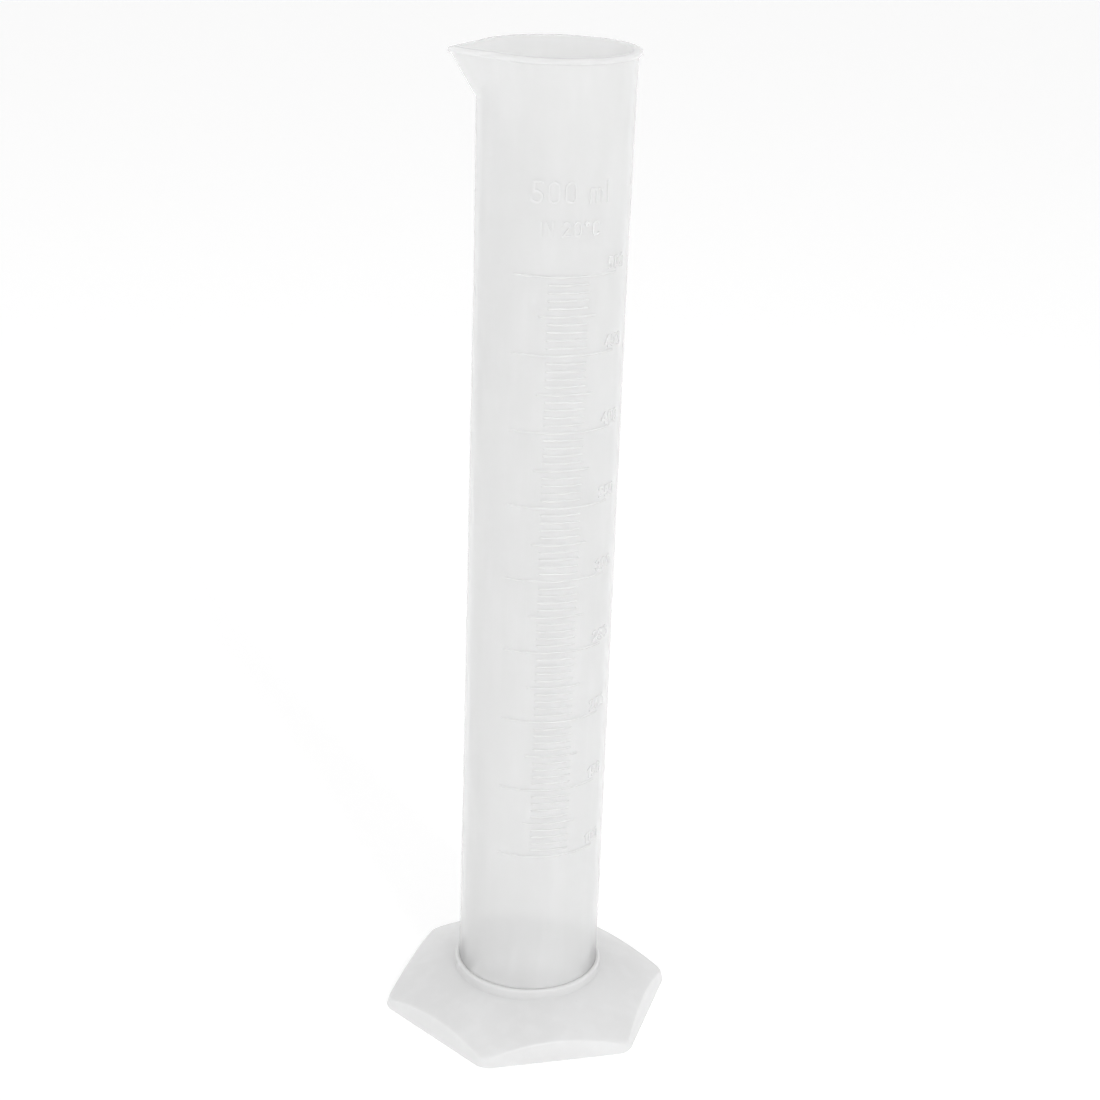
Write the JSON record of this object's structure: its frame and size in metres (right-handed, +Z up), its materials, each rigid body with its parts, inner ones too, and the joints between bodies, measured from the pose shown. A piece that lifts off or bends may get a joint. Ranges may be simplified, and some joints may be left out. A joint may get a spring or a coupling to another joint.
{
  "type": "graduated cylinder",
  "caption": "Tall translucent plastic measuring cylinder with a pouring spout, a rolled lip, a raised volume scale and a hollow hexagonal foot.",
  "frame": {"origin": "on the tube's axis, at the height of the surface the foot stands on", "axes": "+Z up along the tube, -X towards the spout, which stands over a corner of the foot, -Y towards the middle of the scale"},
  "size_m": [0.109, 0.0962, 0.3599],
  "materials": {
    "tube_plastic": "translucent natural polypropylene, satin",
    "foot_plastic": "translucent natural polypropylene, satin",
    "scale_relief": "raised in the same plastic, slightly polished by wear"
  },
  "bodies": {
    "root": {"tube": "tube_plastic", "foot": "foot_plastic", "short_marks": "scale_relief", "half_marks": "scale_relief", "long_marks": "scale_relief", "scale_numerals": "scale_relief", "volume_legend": "scale_relief", "temperature_legend": "scale_relief"}
  },
  "joints": []
}
